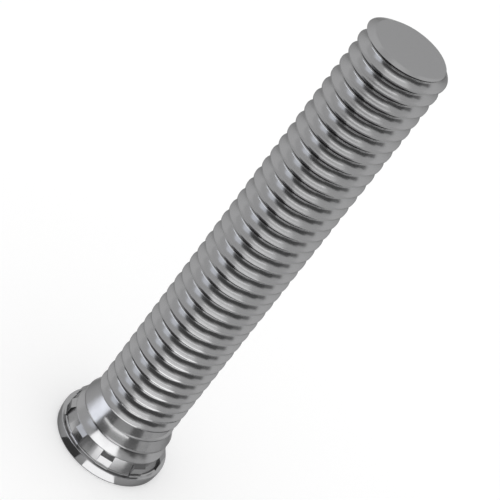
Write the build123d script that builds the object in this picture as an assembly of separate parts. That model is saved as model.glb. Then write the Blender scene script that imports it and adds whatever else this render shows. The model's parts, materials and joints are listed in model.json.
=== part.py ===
from build123d import *
import os
from math import radians, sqrt, tan

# Self-clinching stud, flush head, fully threaded, metric 5 x 0.8. Millimetres.
# The flush face of the head is centred on the origin and the shank points up.
# The shank is the envelope of its rolled thread: crest cylinder, chamfer down to the roots.

# Shank
overall_length = 30.0       # flush face to tip
crest_diameter = 4.87       # over the thread's crests, just inside the nominal 5 mm
thread_depth = 0.425        # crest to root, which the tip chamfer takes off
tip_angle = 30.0            # chamfer, measured from the end face

# Neck and collar
neck_angle = 25.0           # half-angle of the cone under the thread
collar_step = 0.245         # collar radius beyond the crests
collar_height = 0.125

# Undercut that the sheet is squeezed into
undercut_depth = 0.34       # in from the collar's radius
undercut_height = 0.275     # straight part, below the collar
flank_height = 0.42         # from the ring's edge up to the straight part
flank_hollow = 0.018        # how far the flank curves in from a straight cone
undercut_corner = 0.06      # radius at the bottom of the undercut

# Clinching ring
ring_step = 0.12            # ring's edge beyond the collar's radius
ring_height = 0.85          # ledge to the ring's edge
ring_draft = 11.3           # lean of the ring's wall
ring_edge_radius = 0.05
foot_radius = 0.09          # fillet onto the ledge, round the ring and the ribs

# Ribs that stop the stud turning
rib_count = 9
rib_width = 0.75
rib_step = 0.03             # rib's face beyond the foot of the ring's wall
rib_face_height = 0.606     # ledge to the shoulder of the rib
rib_seat = 0.015            # top of the rib's slope, below and inside the ring's edge
rib_start_angle = -80.4     # middle of the first rib, from +X

# Head disc
disc_height = 0.65
ledge_width = 0.28          # ring foot to rim, which brings the head to 6.5 across
rim_curve = 2.2             # radius of the barrelled edge
rim_widest_height = 0.45    # where the edge stands out most
rim_edge_radius = 0.04

# Radii
crest_radius = crest_diameter / 2
tip_radius = crest_radius - thread_depth
collar_radius = crest_radius + collar_step
undercut_radius = collar_radius - undercut_depth
ring_radius = collar_radius + ring_step
ring_foot_radius = ring_radius + ring_height * tan(radians(ring_draft))
rib_radius = ring_foot_radius + rib_step
rim_radius = ring_foot_radius + ledge_width

# Heights
ring_z = disc_height + ring_height
flank_z = ring_z + flank_height
collar_z = flank_z + undercut_height
neck_z = collar_z + collar_height
shank_z = neck_z + collar_step / tan(radians(neck_angle))
chamfer_z = overall_length - thread_depth * tan(radians(tip_angle))


def rim_inset(z):
    """How far the barrelled edge stands in from its widest radius, at a height."""
    return rim_curve - sqrt(rim_curve**2 - (z - rim_widest_height) ** 2)


def rounded(sketch, corner, radius):
    """The sketch with a fillet at the vertex nearest to a corner."""
    return fillet(sketch.vertices().sort_by_distance(corner)[0], radius)


def rim_line():
    return ThreePointArc(
        (rim_radius - rim_inset(0), 0),
        (rim_radius, rim_widest_height),
        (rim_radius - rim_inset(disc_height), disc_height),
    )


def flank_line():
    """The hollow flank of the undercut, from the ring's edge in and up."""
    middle = Vector((ring_radius + undercut_radius) / 2, (ring_z + flank_z) / 2)
    along = Vector(undercut_radius - ring_radius, flank_height).normalized()
    return ThreePointArc(
        (ring_radius, ring_z),
        middle + along.rotate(Axis.Z, 90) * flank_hollow,
        (undercut_radius, flank_z),
    )


def turned_profile():
    """Half section of the whole stud without its ribs, radius against height."""
    rim = rim_line()
    flank = flank_line()
    foot = (ring_foot_radius, disc_height)
    section = make_face(
        [
            Line((0, 0), rim @ 0),
            rim,
            Polyline(rim @ 1, foot, flank @ 0),
            flank,
            Polyline(
                flank @ 1,
                (undercut_radius, collar_z),
                (collar_radius, collar_z),
                (collar_radius, neck_z),
                (crest_radius, shank_z),
                (crest_radius, chamfer_z),
                (tip_radius, overall_length),
                (0, overall_length),
                (0, 0),
            ),
        ]
    )
    section = rounded(section, rim @ 0, rim_edge_radius)
    section = rounded(section, rim @ 1, rim_edge_radius)
    section = rounded(section, foot, foot_radius)
    section = rounded(section, flank @ 0, ring_edge_radius)
    return rounded(section, flank @ 1, undercut_corner)


def rib():
    """One rib on the +X side: an upright face with a slope back to the ring's edge."""
    foot = (rib_radius, disc_height)
    sole_radius = rib_radius + 2 * foot_radius
    section = make_face(
        Polyline(
            (undercut_radius, disc_height / 2),
            (sole_radius, disc_height / 2),
            (sole_radius, disc_height),
            foot,
            (rib_radius, disc_height + rib_face_height),
            (ring_radius - rib_seat, ring_z - rib_seat),
            (undercut_radius, ring_z - rib_seat),
            close=True,
        )
    )
    section = rounded(section, foot, foot_radius)
    return extrude(Plane.XZ * section, rib_width / 2, both=True)


def stud():
    body = revolve(Plane.XZ * turned_profile(), Axis.Z)
    ribs = [spot * rib() for spot in PolarLocations(0, rib_count, rib_start_angle)]
    return body + ribs


os.makedirs("parts", exist_ok=True)
export_step(stud(), "parts/stud.step")
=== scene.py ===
import bmesh
import bpy
import json
from math import acos, ceil, cos, pi, radians, sin, tan
from mathutils import Matrix, Vector


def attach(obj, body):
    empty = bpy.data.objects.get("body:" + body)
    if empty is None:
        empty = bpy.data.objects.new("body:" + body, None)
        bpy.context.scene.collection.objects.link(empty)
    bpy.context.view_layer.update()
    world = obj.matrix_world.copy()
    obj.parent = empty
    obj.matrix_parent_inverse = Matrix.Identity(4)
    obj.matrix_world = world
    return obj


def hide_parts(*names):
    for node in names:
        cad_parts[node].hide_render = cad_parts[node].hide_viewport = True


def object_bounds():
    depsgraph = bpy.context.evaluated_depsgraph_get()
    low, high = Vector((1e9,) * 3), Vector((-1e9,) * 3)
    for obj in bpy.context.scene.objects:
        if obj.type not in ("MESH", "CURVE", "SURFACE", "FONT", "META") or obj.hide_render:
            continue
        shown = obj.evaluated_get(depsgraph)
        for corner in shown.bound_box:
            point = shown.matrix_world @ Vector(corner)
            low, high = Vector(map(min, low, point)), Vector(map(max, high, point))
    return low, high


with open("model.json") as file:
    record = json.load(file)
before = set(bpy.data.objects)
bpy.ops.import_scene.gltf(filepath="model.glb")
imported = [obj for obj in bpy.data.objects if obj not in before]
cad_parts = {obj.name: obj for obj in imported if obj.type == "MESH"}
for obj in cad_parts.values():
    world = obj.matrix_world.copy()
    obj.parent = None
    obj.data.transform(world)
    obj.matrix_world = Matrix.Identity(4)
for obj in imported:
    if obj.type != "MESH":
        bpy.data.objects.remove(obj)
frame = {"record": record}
cadLow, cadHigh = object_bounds()
scene = bpy.context.scene
mm = 0.001                                         # shapes are drawn in millimetres

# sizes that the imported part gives
mounts = {m["name"]: m for m in frame["record"]["mounts"]}
thread, clinch = mounts["thread"], mounts["clinch"]
length = cadHigh.z / mm
rimRadius = cadHigh.x / mm
crestRadius = thread["dims"]["r_mm"]
shankStart = thread["pos_m"][2] / mm - thread["dims"]["length_mm"] / 2    # placed by its middle
chamferStart = shankStart + thread["dims"]["length_mm"]
collarRadius = clinch["dims"]["r_mm"]
ledgeHeight = clinch["pos_m"][2] / mm                                     # placed by its foot
neckStart = ledgeHeight + clinch["dims"]["length_mm"]
print("stage: frame loaded, length", round(length, 3), "rim radius", round(rimRadius, 3))


def link(obj):
    scene.collection.objects.link(obj)
    return obj


def meshObject(name, points, faces):
    mesh = bpy.data.meshes.new(name)
    mesh.from_pydata(points, [], faces)
    return faceOutwards(link(bpy.data.objects.new(name, mesh)))


def faceOutwards(obj):
    work = bmesh.new()
    work.from_mesh(obj.data)
    bmesh.ops.remove_doubles(work, verts=work.verts, dist=1e-5)
    bmesh.ops.recalc_face_normals(work, faces=work.faces)
    work.to_mesh(obj.data)
    work.free()
    return obj


def takeMesh(obj, name):                           # the evaluated shape as a plain mesh
    graph = bpy.context.evaluated_depsgraph_get()
    mesh = bpy.data.meshes.new_from_object(obj.evaluated_get(graph))
    bpy.data.objects.remove(obj)
    return faceOutwards(link(bpy.data.objects.new(name, mesh)))


def combine(target, tool, operation):
    cut = target.modifiers.new(operation, "BOOLEAN")
    cut.operation, cut.solver, cut.object = operation, "MANIFOLD", tool
    made = takeMesh(target, target.name)
    bpy.data.objects.remove(tool)
    return made


def roundedOutline(corners, steps=5):              # corners are (radius out, height, rounding)
    outline = []
    for i, (x, z, rounding) in enumerate(corners):
        here = Vector((x, z))
        if not rounding:
            outline.append(here)
            continue
        back = (Vector(corners[i - 1][:2]) - here).normalized()
        on = (Vector(corners[i + 1][:2]) - here).normalized()
        half = acos(max(-1, min(1, back.dot(on)))) / 2
        centre = here + (back + on).normalized() * (rounding / sin(half))
        first = here + back * (rounding / tan(half)) - centre
        last = here + on * (rounding / tan(half)) - centre
        outline += [centre + first.slerp(last, k / steps).normalized() * rounding
                    for k in range(steps + 1)]
    return outline


def turned(name, corners, columns):                # closed outline spun round the axis
    points, rings = [], []
    for x, z in roundedOutline(corners):
        count = 1 if x < 1e-6 else columns         # one point on the axis itself
        rings.append([len(points) + k for k in range(count)])
        turns = [2 * pi * k / count for k in range(count)]
        points += [(x * cos(turn), x * sin(turn), z) for turn in turns]
    faces = []
    for low, high in zip(rings, rings[1:]):
        for k in range(columns):
            a, b = low[k % len(low)], low[(k + 1) % len(low)]
            c, d = high[(k + 1) % len(high)], high[k % len(high)]
            faces.append(list(dict.fromkeys((a, b, c, d))))
    return meshObject(name, points, [f for f in faces if len(f) > 2])


def feed(tree, socket, value):
    if isinstance(value, bpy.types.NodeSocket):
        tree.links.new(value, socket)
    else:
        socket.default_value = value


def addNode(tree, kind, inputs=(), **settings):
    made = tree.nodes.new(kind)
    for key, value in settings.items():
        setattr(made, key, value)
    for key, value in dict(inputs).items():
        feed(tree, made.inputs[key], value)
    return made


def sums(tree, operation, *values):
    return addNode(tree, "ShaderNodeMath", dict(enumerate(values)), operation=operation).outputs[0]


def newTree(name, floats=(), wholes=()):           # geometry nodes with named inputs
    tree = bpy.data.node_groups.new(name, "GeometryNodeTree")
    sockets = [("Geometry", "NodeSocketGeometry")]
    sockets += [(n, "NodeSocketFloat") for n in floats] + [(n, "NodeSocketInt") for n in wholes]
    for title, kind in sockets + [("Material", "NodeSocketMaterial")]:
        tree.interface.new_socket(title, in_out="INPUT", socket_type=kind)
    tree.interface.new_socket("Geometry", in_out="OUTPUT", socket_type="NodeSocketGeometry")
    return tree, tree.nodes.new("NodeGroupInput").outputs


def endTree(tree, geometry, material):             # every tree ends the same way
    real = addNode(tree, "GeometryNodeRealizeInstances", {"Geometry": geometry})
    painted = addNode(tree, "GeometryNodeSetMaterial",
                      {"Geometry": real.outputs[0], "Material": material})
    output = tree.nodes.new("NodeGroupOutput")
    tree.links.new(painted.outputs[0], output.inputs[0])


def runTree(obj, tree, name, values):
    modifier = obj.modifiers.new(tree.name, "NODES")
    modifier.node_group = tree
    for socket in tree.interface.items_tree:
        if socket.in_out == "INPUT" and socket.name in values:
            modifier[socket.identifier] = values[socket.name]
    return takeMesh(obj, name)


def emptyTree(owner):                              # of a material or of the world
    owner.use_nodes = True
    owner.node_tree.nodes.clear()
    return owner.node_tree


def showSurface(tree, shader, kind="ShaderNodeOutputMaterial"):
    output = tree.nodes.new(kind)
    tree.links.new(shader.outputs[0], output.inputs["Surface"])


steelLook = {
    "colour": (0.272, 0.272, 0.275, 1),
    "edgeTint": (0.45, 0.45, 0.45, 1),             # keeps glancing views as grey as the rest
    "roughness": 0.2,
    "roughnessSpread": 0.05,                       # how much the satin finish varies
    "grainSize": 2600,                             # of the finish, per metre
    "grainStrength": 0.012,
    "grainDepth": 0.02,
}


def steelMaterial():
    made = bpy.data.materials.new("satinSteel")
    tree = emptyTree(made)
    place = tree.nodes.new("ShaderNodeTexCoord").outputs["Object"]
    grain = addNode(tree, "ShaderNodeTexNoise",
                    {"Vector": place, "Scale": steelLook["grainSize"], "Detail": 3})
    low = steelLook["roughness"] - steelLook["roughnessSpread"] / 2
    satin = addNode(tree, "ShaderNodeMapRange",
                    {"Value": grain.outputs["Fac"], "From Min": 0.3, "From Max": 0.7,
                     "To Min": low, "To Max": low + steelLook["roughnessSpread"]})
    bump = addNode(tree, "ShaderNodeBump",
                   {"Height": grain.outputs["Fac"], "Strength": steelLook["grainStrength"],
                    "Distance": steelLook["grainDepth"] * mm})
    shader = addNode(tree, "ShaderNodeBsdfPrincipled",
                     {"Base Color": steelLook["colour"], "Metallic": 1,
                      "Specular Tint": steelLook["edgeTint"],
                      "Roughness": satin.outputs[0], "Normal": bump.outputs[0]})
    showSurface(tree, shader)
    return made


steel = steelMaterial()

threadForm = {
    "pitch": 0.8,
    "depth": 0.425,
    "crestFlat": 0.122,                            # before its edges are broken
    "crestBevel": 0.12,                            # broken edge of the crest
    "bevelLean": 50,                               # of that edge, out from the crest
    "flankAngle": 60,                              # between two flanks that face each other
    "tipAngle": 30,                                # of the chamfer, from the end face
    "crestHeight": 3.835,                          # of one crest at +X, which sets the start
    "seating": 0.06,                               # how far the shank goes into the collar
    "columns": 216,                                # faces in one turn
}
tipRadius = crestRadius - (length - chamferStart) / tan(radians(threadForm["tipAngle"]))


def threadSection():                               # one pitch, from mid crest to mid crest
    pitch, flat, depth = threadForm["pitch"], threadForm["crestFlat"] / 2, threadForm["depth"]
    slope = tan(radians(threadForm["flankAngle"] / 2))
    bevel, lean = threadForm["crestBevel"], radians(threadForm["bevelLean"])
    drop = bevel * sin(lean)                       # the bevel ends on the flank
    end = flat + drop * slope
    down = [(crestRadius, 0), (crestRadius, end - bevel * cos(lean)),
            (crestRadius - drop, end), (crestRadius - depth, flat + depth * slope)]
    up = [(x, pitch - z) for x, z in reversed(down)]
    return [(x, 0, z) for x, z in down + up]


def threadTree():                                  # winds the section round the axis
    tree, given = newTree("windThread", ("Pitch", "Start", "Foot", "Top", "Root Radius"),
                          ("Columns", "Turns"))
    count = addNode(tree, "GeometryNodeAttributeDomainSize",
                    {"Geometry": given["Geometry"]}).outputs["Point Count"]
    across = sums(tree, "MULTIPLY_ADD", given["Turns"], given["Columns"], 1.0)
    grid = addNode(tree, "GeometryNodeMeshGrid", {"Vertices X": across, "Vertices Y": count})
    index = tree.nodes.new("GeometryNodeInputIndex").outputs[0]
    column = sums(tree, "FLOOR", sums(tree, "DIVIDE", sums(tree, "ADD", index, 0.5), count))
    row = sums(tree, "SUBTRACT", index, sums(tree, "MULTIPLY", column, count))
    section = addNode(tree, "GeometryNodeSampleIndex",
                      {"Geometry": given["Geometry"], "Index": row}, data_type="FLOAT_VECTOR")
    position = tree.nodes.new("GeometryNodeInputPosition").outputs[0]
    tree.links.new(position, section.inputs["Value"])
    drawn = addNode(tree, "ShaderNodeSeparateXYZ", {0: section.outputs[0]}).outputs
    turns = sums(tree, "DIVIDE", column, given["Columns"])
    angle = sums(tree, "MULTIPLY", sums(tree, "FRACT", turns), 2 * pi)
    rise = sums(tree, "MULTIPLY_ADD", turns, given["Pitch"], given["Start"])
    height = sums(tree, "ADD", drawn["Z"], rise)
    # what passes an end is held there and drawn in to the disc that closes it
    held = sums(tree, "MINIMUM", sums(tree, "MAXIMUM", height, given["Foot"]), given["Top"])
    off = sums(tree, "ABSOLUTE", sums(tree, "SUBTRACT", held, height))
    moved = sums(tree, "GREATER_THAN", off, 1e-5)
    inward = sums(tree, "SUBTRACT", given["Root Radius"], drawn["X"])
    radius = sums(tree, "MULTIPLY_ADD", inward, moved, drawn["X"])
    place = addNode(tree, "ShaderNodeCombineXYZ",
                    {"X": sums(tree, "MULTIPLY", radius, sums(tree, "COSINE", angle)),
                     "Y": sums(tree, "MULTIPLY", radius, sums(tree, "SINE", angle)), "Z": held})
    wound = addNode(tree, "GeometryNodeSetPosition",
                    {"Geometry": grid.outputs[0], "Position": place.outputs[0]})
    joined = tree.nodes.new("GeometryNodeJoinGeometry")
    tree.links.new(wound.outputs[0], joined.inputs[0])
    for end in ("Foot", "Top"):
        disc = addNode(tree, "GeometryNodeMeshCircle",
                       {"Vertices": given["Columns"], "Radius": given["Root Radius"]},
                       fill_type="NGON")
        offset = addNode(tree, "ShaderNodeCombineXYZ", {"Z": given[end]})
        lifted = addNode(tree, "GeometryNodeTransform",
                         {"Geometry": disc.outputs[0], "Translation": offset.outputs[0]})
        tree.links.new(lifted.outputs[0], joined.inputs[0])
    closed = addNode(tree, "GeometryNodeMergeByDistance",
                     {"Geometry": joined.outputs[0], "Distance": 1e-4})
    endTree(tree, closed.outputs[0], given["Material"])
    return tree


def threadedShank():
    section = meshObject("section", threadSection(), [])
    spareFoot, spareTop, spareRound = 0.4, 0.5, 0.1          # cut off, or clear of the cut
    foot = neckStart - threadForm["seating"]
    rodFoot, rodTop = foot - spareFoot, length + spareTop
    pitch, crest = threadForm["pitch"], threadForm["crestHeight"]
    start = crest - pitch * ceil((crest + pitch - rodFoot) / pitch)
    rod = runTree(section, threadTree(), "rod", {
        "Pitch": pitch, "Start": start, "Foot": rodFoot, "Top": rodTop, "Root Radius": tipRadius,
        "Columns": threadForm["columns"], "Turns": ceil((rodTop - start) / pitch) + 1,
        "Material": steel})
    slope = tan(radians(threadForm["tipAngle"]))
    beyond = crestRadius + spareRound
    envelope = turned("envelope", [
        (0, foot, 0), (beyond, foot, 0), (beyond, length - (beyond - tipRadius) * slope, 0),
        (tipRadius, length, 0), (0, length, 0)], threadForm["columns"])
    return combine(rod, envelope, "INTERSECT")


headForm = {
    "rimCurve": 2.2,                               # radius of the barrelled edge
    "rimWidest": 0.45,                             # height of the widest place
    "rimRounding": 0.04,
    "ringFoot": 0.28,                              # in from the rim
    "ringEdge": 0.12,                              # out from the collar
    "ringHeight": 0.85,
    "ringRounding": 0.05,
    "footRounding": 0.09,
    "flankHeight": 0.42,
    "flankHollow": 0.018,
    "undercutDepth": 0.34,
    "undercutHeight": 0.275,
    "undercutRounding": 0.06,
    "collarRounding": 0.012,
    "coreInset": 0.15,                             # the neck's cone ends inside the shank
    "columns": 288,                                # faces round the head
}
ringEdgeRadius = collarRadius + headForm["ringEdge"]
ringFootRadius = rimRadius - headForm["ringFoot"]
ringTop = ledgeHeight + headForm["ringHeight"]
undercutRadius = collarRadius - headForm["undercutDepth"]


def barrelled(height):                             # rim radius at a height
    curve, widest = headForm["rimCurve"], headForm["rimWidest"]
    return rimRadius - curve + (curve ** 2 - (height - widest) ** 2) ** 0.5


def headOutline():
    h = headForm
    flankTop = ringTop + h["flankHeight"]
    collarFoot = flankTop + h["undercutHeight"]
    neckLean = (collarRadius - crestRadius) / (shankStart - neckStart)
    core = tipRadius - h["coreInset"]
    coreTop = neckStart + (collarRadius - core) / neckLean
    rim = [(barrelled(ledgeHeight * k / 4), ledgeHeight * k / 4, 0) for k in (1, 2, 3)]
    run, rise = undercutRadius - ringEdgeRadius, h["flankHeight"]
    long = (run ** 2 + rise ** 2) ** 0.5
    hollow = []
    for k in (1, 2, 3):                            # the flank curves in from a straight cone
        bow = h["flankHollow"] * (1 - (k / 2 - 1) ** 2)
        hollow.append((ringEdgeRadius + run * k / 4 - bow * rise / long,
                       ringTop + rise * k / 4 + bow * run / long, 0))
    return ([(0, 0, 0), (barrelled(0), 0, h["rimRounding"])] + rim
            + [(barrelled(ledgeHeight), ledgeHeight, h["rimRounding"]),
               (ringFootRadius, ledgeHeight, h["footRounding"]),
               (ringEdgeRadius, ringTop, h["ringRounding"])] + hollow
            + [(undercutRadius, flankTop, h["undercutRounding"]),
               (undercutRadius, collarFoot, 0),
               (collarRadius, collarFoot, h["collarRounding"]),
               (collarRadius, neckStart, h["collarRounding"]),
               (core, coreTop, 0), (0, coreTop, 0)])


ribForm = {
    "count": 9,
    "start": -80.4,                                # middle of the first rib, from +X
    "width": 0.75,
    "step": 0.03,                                  # face beyond the ring's foot
    "faceHeight": 0.606,
    "seat": 0.015,                                 # top of its slope, inside the ring's edge
    "filletSteps": 5,
}


def rib():
    face, middle = ringFootRadius + ribForm["step"], ledgeHeight / 2
    foot, seat = headForm["footRounding"], ringTop - ribForm["seat"]
    outline = [(undercutRadius, middle), (face + foot, middle), (face + foot, ledgeHeight)]
    for k in range(ribForm["filletSteps"]):        # round the fillet at the foot
        turn = pi / 2 * (k + 1) / ribForm["filletSteps"]
        outline.append((face + foot * (1 - sin(turn)), ledgeHeight + foot * (1 - cos(turn))))
    outline += [(face, ledgeHeight + ribForm["faceHeight"]),
                (ringEdgeRadius - ribForm["seat"], seat), (undercutRadius, seat)]
    half, n = ribForm["width"] / 2, len(outline)
    points = [(x, side, z) for side in (-half, half) for x, z in outline]
    faces = [list(range(n)), list(range(n, 2 * n))]
    faces += [[k, (k + 1) % n, n + (k + 1) % n, n + k] for k in range(n)]
    return meshObject("rib", points, faces)


def ribTree():                                     # sets the ribs evenly round the ring
    tree, given = newTree("setRibs", ("Start",), ("Count",))
    ring = addNode(tree, "GeometryNodeMeshCircle", {"Vertices": given["Count"], "Radius": 0.0})
    index = tree.nodes.new("GeometryNodeInputIndex").outputs[0]
    step = sums(tree, "DIVIDE", 2 * pi, given["Count"])
    angle = sums(tree, "MULTIPLY_ADD", index, step, given["Start"])
    turn = addNode(tree, "ShaderNodeCombineXYZ", {"Z": angle})
    spin = addNode(tree, "FunctionNodeEulerToRotation", {0: turn.outputs[0]})
    placed = addNode(tree, "GeometryNodeInstanceOnPoints",
                     {"Points": ring.outputs[0], "Instance": given["Geometry"],
                      "Rotation": spin.outputs[0]})
    endTree(tree, placed.outputs[0], given["Material"])
    return tree


def wholeStud():
    shank = threadedShank()
    print("stage: shank", len(shank.data.polygons), "faces")
    ribs = runTree(rib(), ribTree(), "ribs", {
        "Start": radians(ribForm["start"]), "Count": ribForm["count"], "Material": steel})
    print("stage: ribs", len(ribs.data.polygons), "faces")
    body = turned("studBody", headOutline(), headForm["columns"])
    body = combine(body, ribs, "UNION")
    return combine(body, shank, "UNION")


def windsAtRoot(edge):                             # along the thread's root, where light runs on
    root = (crestRadius - threadForm["depth"]) * mm
    a, b = (v.co for v in edge.verts)
    return (min(a.z, b.z) > shankStart * mm and abs(a.z - b.z) > 0.001 * mm
            and max(abs(v.xy.length - root) for v in (a, b)) < 0.0001 * mm)


def finishMesh(obj, crease=24):                    # into metres, smooth up to the crease angle
    obj.data.transform(Matrix.Scale(mm, 4))
    work = bmesh.new()
    work.from_mesh(obj.data)
    for face in work.faces:
        face.smooth = True
    openEdges = 0
    for edge in work.edges:
        whole = len(edge.link_faces) == 2
        openEdges += not whole
        edge.smooth = whole and (windsAtRoot(edge) or edge.calc_face_angle() < radians(crease))
    work.to_mesh(obj.data)
    work.free()
    obj.data.materials.clear()
    obj.data.materials.append(steel)
    print("stage: stud", len(obj.data.polygons), "faces, open edges", openEdges)
    return obj


stud = finishMesh(wholeStud())
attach(stud, "root")
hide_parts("stud")

studio = {
    "ambient": 0.95,                               # level of the soft light all round
    "floorColour": (0.8, 0.8, 0.8, 1),
    "floorLift": 0.26,                             # brings the lit floor up to white
    "floorSize": 1.5,
}


def seenRays(tree):                                # 1 for camera, glossy and transmission rays
    path = tree.nodes.new("ShaderNodeLightPath").outputs
    some = sums(tree, "MAXIMUM", path["Is Camera Ray"], path["Is Glossy Ray"])
    return sums(tree, "MAXIMUM", some, path["Is Transmission Ray"])


def makeWorld():
    scene.world = bpy.data.worlds.new("studio")
    tree = emptyTree(scene.world)
    level = addNode(tree, "ShaderNodeMapRange",
                    {"Value": seenRays(tree), "To Min": studio["ambient"]})
    sky = addNode(tree, "ShaderNodeBackground",
                  {"Color": (1, 1, 1, 1), "Strength": level.outputs[0]})
    showSurface(tree, sky, "ShaderNodeOutputWorld")


def makeFloor():
    made = bpy.data.materials.new("paleFloor")
    tree = emptyTree(made)
    matt = addNode(tree, "ShaderNodeBsdfDiffuse", {"Color": studio["floorColour"]})
    lift = addNode(tree, "ShaderNodeEmission",
                   {"Strength": sums(tree, "MULTIPLY", seenRays(tree), studio["floorLift"])})
    both = addNode(tree, "ShaderNodeAddShader", {0: matt.outputs[0], 1: lift.outputs[0]})
    showSurface(tree, both)
    s = studio["floorSize"]
    floor = meshObject("floor", [(-s, -s, 0), (s, -s, 0), (s, s, 0), (-s, s, 0)], [(0, 1, 2, 3)])
    floor.data.materials.append(made)
    if floor.data.polygons[0].normal.z < 0:
        floor.data.flip_normals()


# soft panel overhead, in strips: corners across and back in metres, strength
panelHeight = 1.0
panels = {
    "panelSkirt": ((-0.54, -0.86), (0.6, -0.86), (0.56, -0.68), (-0.47, -0.68), 0.6),
    "panelFront": ((-0.47, -0.68), (0.56, -0.68), (0.51, -0.5), (-0.38, -0.5), 0.9),
    "panelMiddle": ((-0.38, -0.5), (0.51, -0.5), (0.46, -0.34), (-0.32, -0.34), 2.5),
    "panelBack": ((-0.32, -0.34), (0.46, -0.34), (0.36, 0.06), (-0.13, 0.06), 1.5),
}
coolWhite, plainWhite = (0.9, 0.93, 1, 1), (1, 1, 1, 1)
# cards round the stud: azimuth from the front and elevation in degrees, strength, colour
cardDistance = 1.0
cards = {
    "windowLow": (-93, -46, -4, 10, 3.6, coolWhite),
    "windowHigh": (-76, -50, 10, 43, 1.8, coolWhite),
    "flagLeft": (-44, -14, -4, 14, 0.3, plainWhite),
    "flagRight": (30, 60, -4, 14, 0.27, plainWhite),
    "flagHigh": (-48, 26, 14, 49, 0.14, plainWhite),
    "flagHighRight": (26, 84, 14, 43, 0.16, plainWhite),
    "flagSide": (84, 106, 13, 32, 0.3, plainWhite),
    "backGlow": (110, 250, 2, 62, 1.21, plainWhite),
}
# low cards that the stud's sides reflect: inner and outer radius in mm, azimuths, strength,
# and a height in mm where the card hangs over the floor
lowCards = {
    "lowReflector": (3.24, 5.0, -6, 31, 3.2),
    "lowFlag": (3.24, 5.4, -42, -16, 0.12),
    "lowFront": (5.4, 8, -10, 22, 1.6),
    "lowFlagLeft": (5.4, 6.2, -38, -10, 0.15),
    "lowGlow": (4.8, 6.2, -68, -42, 1.7),
    "ringGlow": (6.2, 8, -26, -10, 1.5),
    "ringGlowLeft": (6.2, 8, -68, -26, 0.7),
    "bandCard": (3.2, 3.75, -27, 23, 3.7, 3.0),
    "lowFlagRight": (5.4, 8, 22, 118, 0.3),
    "farReflector": (8, 17, -8, 50, 3.5),
    "farReflectorMiddle": (17, 34, -8, 50, 1.9),
    "farReflectorOuter": (34, 75, -8, 50, 0.65),
    "rootFlag": (75, 500, -40, 84, 0.2),
    "farFlag": (8, 20, -80, -14, 0.15),
    "farFlagLeft": (20, 75, -50, -14, 0.15),
}
restingHeight = 0.01                               # of the other low cards, in mm


def placeCard(name, points, faces, strength, colour=plainWhite):
    card = meshObject(name, points, faces)
    made = bpy.data.materials.new(name)
    tree = emptyTree(made)
    showSurface(tree, addNode(tree, "ShaderNodeEmission", {"Color": colour, "Strength": strength}))
    card.data.materials.append(made)
    card.visible_camera = card.visible_shadow = False        # only reflections see it
    card.visible_transmission = card.visible_diffuse = False


def patch(spot, across, along):                    # a sheet of faces, spot(u, v) gives each point
    points = [spot(i / across, j / along) for i in range(across + 1) for j in range(along + 1)]
    row = along + 1
    faces = [(i * row + j, i * row + j + 1, (i + 1) * row + j + 1, (i + 1) * row + j)
             for i in range(across) for j in range(along)]
    return points, faces


def makeCards():
    for name, (*corners, strength) in panels.items():
        placeCard(name, [(x, y, panelHeight) for x, y in corners], [(0, 1, 2, 3)], strength)
    for name, (azFrom, azTo, elFrom, elTo, strength, colour) in cards.items():
        def spot(u, v):
            azimuth = radians(azFrom + (azTo - azFrom) * u)
            elevation = radians(elFrom + (elTo - elFrom) * v)
            out = cardDistance * cos(elevation)
            return (out * sin(azimuth), -out * cos(azimuth),
                    cardDistance * sin(elevation) + length * mm / 2)
        placeCard(name, *patch(spot, across=12, along=6), strength, colour)
    for name, (inner, outer, azFrom, azTo, strength, *hung) in lowCards.items():
        def spot(u, v):
            azimuth = radians(azFrom + (azTo - azFrom) * u)
            out = (inner + (outer - inner) * v) * mm
            height = hung[0] if hung else restingHeight
            return out * sin(azimuth), -out * cos(azimuth), height * mm
        placeCard(name, *patch(spot, across=24, along=1), strength)


view = {
    "place": (-0.036, -95.8912, 76.6096),          # in mm, as the aim is
    "aim": (-0.2403, 0, 15.4302),
    "roll": 37.638,
    "lens": 159.896,
    "sensor": 36,
}


def makeCamera():
    data = bpy.data.cameras.new("camera")
    data.lens, data.sensor_width = view["lens"], view["sensor"]
    data.clip_start, data.clip_end = 0.005, 5
    camera = link(bpy.data.objects.new("camera", data))
    place, aim = Vector(view["place"]) * mm, Vector(view["aim"]) * mm
    level = (aim - place).to_track_quat("-Z", "Y").to_matrix()
    spin = level @ Matrix.Rotation(radians(view["roll"]), 3, "Z")
    camera.matrix_world = Matrix.Translation(place) @ spin.to_4x4()
    scene.camera = camera


makeWorld()
makeFloor()
makeCards()
makeCamera()
scene.view_settings.view_transform = "Standard"
print("stage: studio set")
